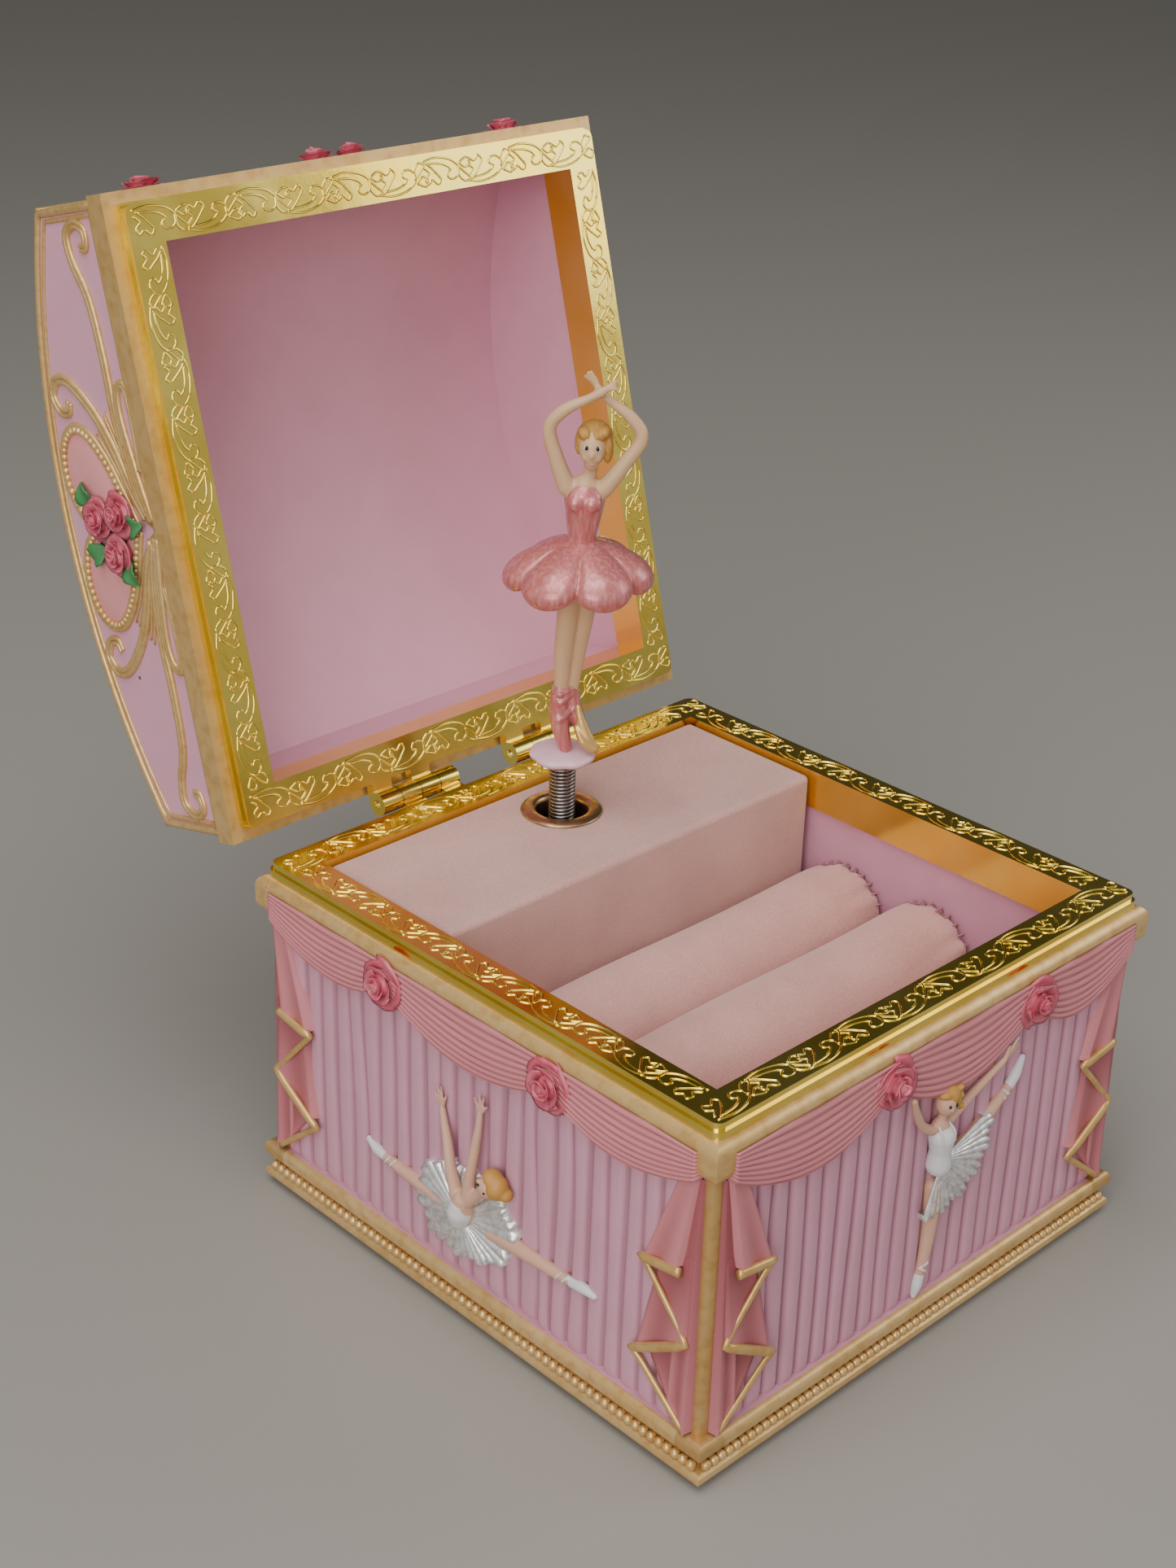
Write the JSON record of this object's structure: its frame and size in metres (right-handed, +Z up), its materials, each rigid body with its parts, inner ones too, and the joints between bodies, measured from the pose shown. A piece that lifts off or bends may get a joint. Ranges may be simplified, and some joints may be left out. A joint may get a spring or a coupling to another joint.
{
  "type": "ballerina jewellery box",
  "caption": "Musical jewellery box: cast base and domed hinged lid with plated frames, ring rolls, and a dancer on a spring that turns as a key-wound movement plays.",
  "frame": {"origin": "centre of the base, on the plane its feet rest on", "axes": "+Z up, -Y the front, the hinge at +Y, +X to the right seen from the front"},
  "size_m": [0.12, 0.1781, 0.1858],
  "materials": {
    "resin_curtain": "hand-painted matt lilac resin with pink drapes and brushed gold mouldings",
    "plated_gold": "bright gold plate with a scrolled relief",
    "lid_paint": "hand-painted matt lilac resin with brushed gold edges",
    "foot_pad": "translucent soft pad",
    "flock": "dusty pink flock on card",
    "suede": "dusty pink brushed suede cloth over foam",
    "card": "folded grey card",
    "eyelet_brass": "polished antique brass",
    "rose_paint": "deep pink painted resin",
    "leaf_paint": "green painted resin",
    "relief_paint": "flesh, white and silver painted resin",
    "zinc": "die-cast, bare",
    "steel": "drawn, bright",
    "spring_steel": "drawn wire, bright",
    "movement_brass": "machined, bright",
    "fan_plastic": "moulded, matt",
    "figure_paint": "flesh, pearl pink and ochre paint on moulded plastic",
    "stand_paint": "pale pink satin paint"
  },
  "bodies": {
    "root": {"feet": "foot_pad", "base_casting": "resin_curtain", "base_bezel": "plated_gold", "hinge_pins": "steel", "mechanism_cover": "flock", "eyelet": "eyelet_brass", "ring_tray": "card", "ring_roll_back": "suede", "ring_roll_middle": "suede", "ring_roll_front": "suede", "base_roses": "rose_paint", "relief_dancer_left": "relief_paint", "relief_dancer_right": "relief_paint", "relief_dancer_front": "relief_paint", "relief_dancer_back": "relief_paint", "bedplate": "zinc", "bearing_posts": "movement_brass", "movement_screws": "steel", "spring_housing": "zinc", "mainspring": "spring_steel", "comb": "steel", "comb_screws": "steel", "governor_bracket": "movement_brass"},
    "lid": {"lid_casting": "lid_paint", "lid_bezel": "plated_gold", "lid_wall_roses": "rose_paint", "lid_end_roses": "rose_paint", "lid_end_leaves": "leaf_paint"},
    "drive": {"great_wheel": "movement_brass", "winding_arbor": "steel", "dancer_spindle": "movement_brass", "winding_key": "movement_brass"},
    "drum": {"music_drum": "movement_brass", "drum_arbor": "steel", "drum_pinion": "movement_brass", "drum_wheel": "movement_brass"},
    "idler": {"governor_idler": "movement_brass"},
    "governor": {"governor_worm": "steel", "governor_fan": "fan_plastic"},
    "spring_bend": {"coil_spring": "spring_steel"},
    "dancer": {"dancer_stand": "stand_paint", "dancer_figure": "figure_paint"}
  },
  "joints": [
    {"name": "lid_hinge", "type": "hinge", "parent": "root", "child": "lid", "pos_m": [0, 0.0601, 0.07125], "axis": [1, 0, 0], "range_deg": [0, 105]},
    {"name": "dancer_fold", "type": "hinge", "parent": "root", "child": "spring_bend", "pos_m": [0, 0.037, 0.077], "axis": [1, 0, 0], "range_deg": [0, 78], "deforming": ["coil_spring"]},
    {"name": "key_spin", "type": "hinge", "parent": "root", "child": "drive", "pos_m": [0, 0.037, 0.03], "axis": [0, 0, 1], "continuous": true},
    {"name": "dancer_spin", "type": "hinge", "parent": "spring_bend", "child": "dancer", "pos_m": [0, 0.037, 0.082], "axis": [0, 0, 1], "continuous": true},
    {"name": "drum_spin", "type": "hinge", "parent": "root", "child": "drum", "pos_m": [0.02, 0.037, 0.03555], "axis": [1, 0, 0], "continuous": true},
    {"name": "idler_spin", "type": "hinge", "parent": "root", "child": "idler", "pos_m": [0.035, 0.037, 0.02635], "axis": [1, 0, 0], "continuous": true},
    {"name": "governor_spin", "type": "hinge", "parent": "root", "child": "governor", "pos_m": [0.0372, 0.0423, 0.03], "axis": [0, 0, 1], "continuous": true}
  ],
  "couplings": [
    {"joint": "dancer_fold", "follows": "lid_hinge", "ratio": 0.74286},
    {"joint": "dancer_spin", "follows": "key_spin", "ratio": 1},
    {"joint": "drum_spin", "follows": "key_spin", "ratio": 2.5},
    {"joint": "idler_spin", "follows": "key_spin", "ratio": -9},
    {"joint": "governor_spin", "follows": "key_spin", "ratio": 180}
  ]
}
